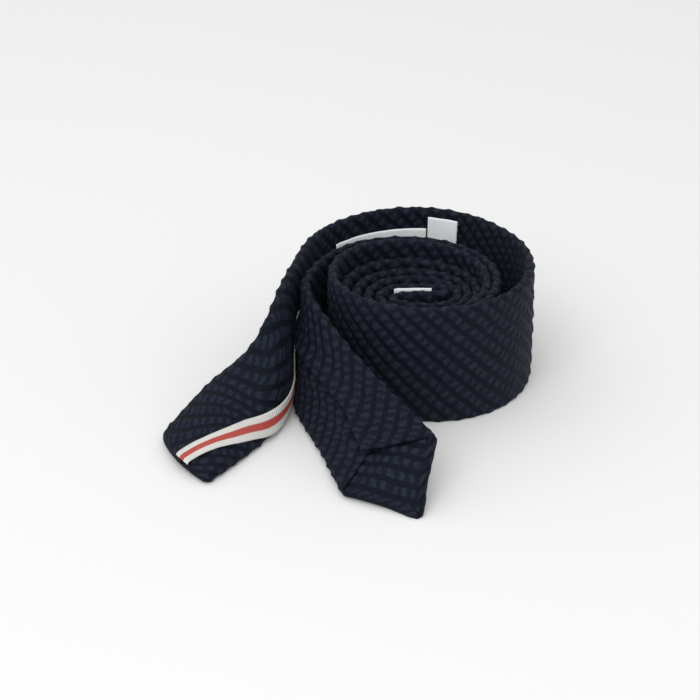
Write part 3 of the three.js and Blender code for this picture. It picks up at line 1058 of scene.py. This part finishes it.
def labelMaterial():
    material, tree, shader = newMaterial("wovenSatinLabel")
    flatMap = tree.nodes.new("ShaderNodeUVMap").outputs[0]
    threads = useGroup(tree, weave, {"Flat": flatMap, "Threads": 260.0})
    streak = addNode(tree, "ShaderNodeMapping", {"Vector": flatMap, "Scale": (300, 12, 1)})
    satin = addNode(tree, "ShaderNodeTexNoise",
                    {"Vector": streak.outputs[0], "Scale": 1.0, "Detail": 3.0})
    base = mixColour(tree, rangeNode(tree, satin.outputs[0], 0.35, 0.7, 0.0, 0.35),
                     finish["label"], finish["labelShade"])
    tree.links.new(base, shader.inputs["Base Color"])
    tree.links.new(rangeNode(tree, satin.outputs[0], 0.3, 0.7, 0.38, 0.55),
                   shader.inputs["Roughness"])
    height = mathNode(tree, "MULTIPLY_ADD", satin.outputs[0], 0.08, threads.outputs["Height"])
    bumpTo(tree, shader, height, strength=0.5)
    return material


def threadMaterial(name, colour):
    material, tree, shader = newMaterial(name)
    where = addNode(tree, "ShaderNodeTexCoord").outputs["Object"]
    ply = addNode(tree, "ShaderNodeTexWave", {"Vector": where, "Scale": 900.0, "Distortion": 2.0},
                  bands_direction="DIAGONAL")
    # Painted shade: the grooves between the plies are darker, where the bump is lowest.
    base = mixColour(tree, ply.outputs["Fac"], tuple(0.6 * c for c in colour), colour)
    tree.links.new(base, shader.inputs["Base Color"])
    tree.links.new(rangeNode(tree, ply.outputs["Fac"], 0, 1, 0.6, 0.4),
                   shader.inputs["Roughness"])
    bumpTo(tree, shader, ply.outputs["Fac"], 0.1 * mm)
    return material


def feltMaterial():
    material, tree, shader = newMaterial("woolInterlining")
    where = addNode(tree, "ShaderNodeTexCoord").outputs["Object"]
    fuzz = addNode(tree, "ShaderNodeTexNoise", {"Vector": where, "Scale": 900.0, "Detail": 6.0})
    base = mixColour(tree, rangeNode(tree, fuzz.outputs[0], 0.3, 0.7), finish["felt"],
                     tuple(0.6 * c for c in finish["felt"]))
    tree.links.new(base, shader.inputs["Base Color"])
    tree.links.new(rangeNode(tree, fuzz.outputs[0], 0.3, 0.7, 0.85, 0.97),
                   shader.inputs["Roughness"])
    bumpTo(tree, shader, fuzz.outputs[0], 0.2 * mm)
    return material


def coat(pieces, material):
    for piece in pieces:
        piece.data.materials.clear()
        piece.data.materials.append(material)


coat((widePanel, neckPanel, narrowPanel), clothMaterial("navySeersucker", 0.9))
coat((tippingPanel,), clothMaterial("tippingSeersucker", 1.0))
coat((stripedTape,), tapeMaterial())
coat((keeperLabel, careLabel, neckTab), labelMaterial())
coat(stitchPieces, threadMaterial("sewingThread", finish["thread"]))
coat(labelThreads, threadMaterial("labelThread", finish["labelThread"]))
coat((interliningNarrow, interliningNeck, interliningWide), feltMaterial())
print("materials set")


studio = {
    "floor": (0.86, 0.86, 0.86),
    "world": 0.78,
    "aim": (0, 0, 0.02),
    "keyPower": 2.2,
    "frontPower": 14.5,
    "lens": 102.86,
    "distance": 1.023,
    "tilt": 28,              # degrees that the camera looks down
    "look": Vector((-0.0005, 0.0550, 0)),
}
bm = bmesh.new()
bmesh.ops.create_grid(bm, x_segments=1, y_segments=1, size=6)
studioFloor = pieceFrom(bm, "studioFloor")
paper, tree, shader = newMaterial("paperFloor")
where = addNode(tree, "ShaderNodeTexCoord").outputs["Object"]
tone = addNode(tree, "ShaderNodeTexNoise", {"Vector": where, "Scale": 3.0, "Detail": 2.0})
tree.links.new(mixColour(tree, tone.outputs[0], studio["floor"],
                         tuple(0.985 * c for c in studio["floor"])), shader.inputs["Base Color"])
shader.inputs["Roughness"].default_value = 0.9
coat((studioFloor,), paper)

world = bpy.data.worlds.new("studio")
world.use_nodes = True
background = world.node_tree.nodes["Background"]
background.inputs[0].default_value = (1, 1, 1, 1)
background.inputs[1].default_value = studio["world"]
bpy.context.scene.world = world


def softbox(name, place, size, power):
    light = bpy.data.lights.new(name, "AREA")
    light.shape = "RECTANGLE"
    light.size, light.size_y = size
    light.energy = power
    box = bpy.data.objects.new(name, light)
    box.location = place
    way = Vector(studio["aim"]) - Vector(place)
    box.rotation_euler = way.to_track_quat("-Z", "Y").to_euler()
    bpy.context.collection.objects.link(box)


softbox("keyLight", (-0.5, 0.35, 1.2), (1.6, 1.6), studio["keyPower"])
softbox("frontLight", (-0.35, -1.3, 1.3), (1.6, 1.2), studio["frontPower"])

tilt = math.radians(studio["tilt"])
away = Vector((0, -math.cos(tilt), math.sin(tilt)))
camera = bpy.data.objects.new("camera", bpy.data.cameras.new("camera"))
camera.data.lens = studio["lens"]
camera.data.sensor_width = 36
camera.location = studio["look"] + away * studio["distance"]
camera.rotation_euler = (-away).to_track_quat("-Z", "Y").to_euler()
bpy.context.collection.objects.link(camera)
bpy.context.scene.camera = camera
bpy.context.scene.view_settings.view_transform = "Standard"
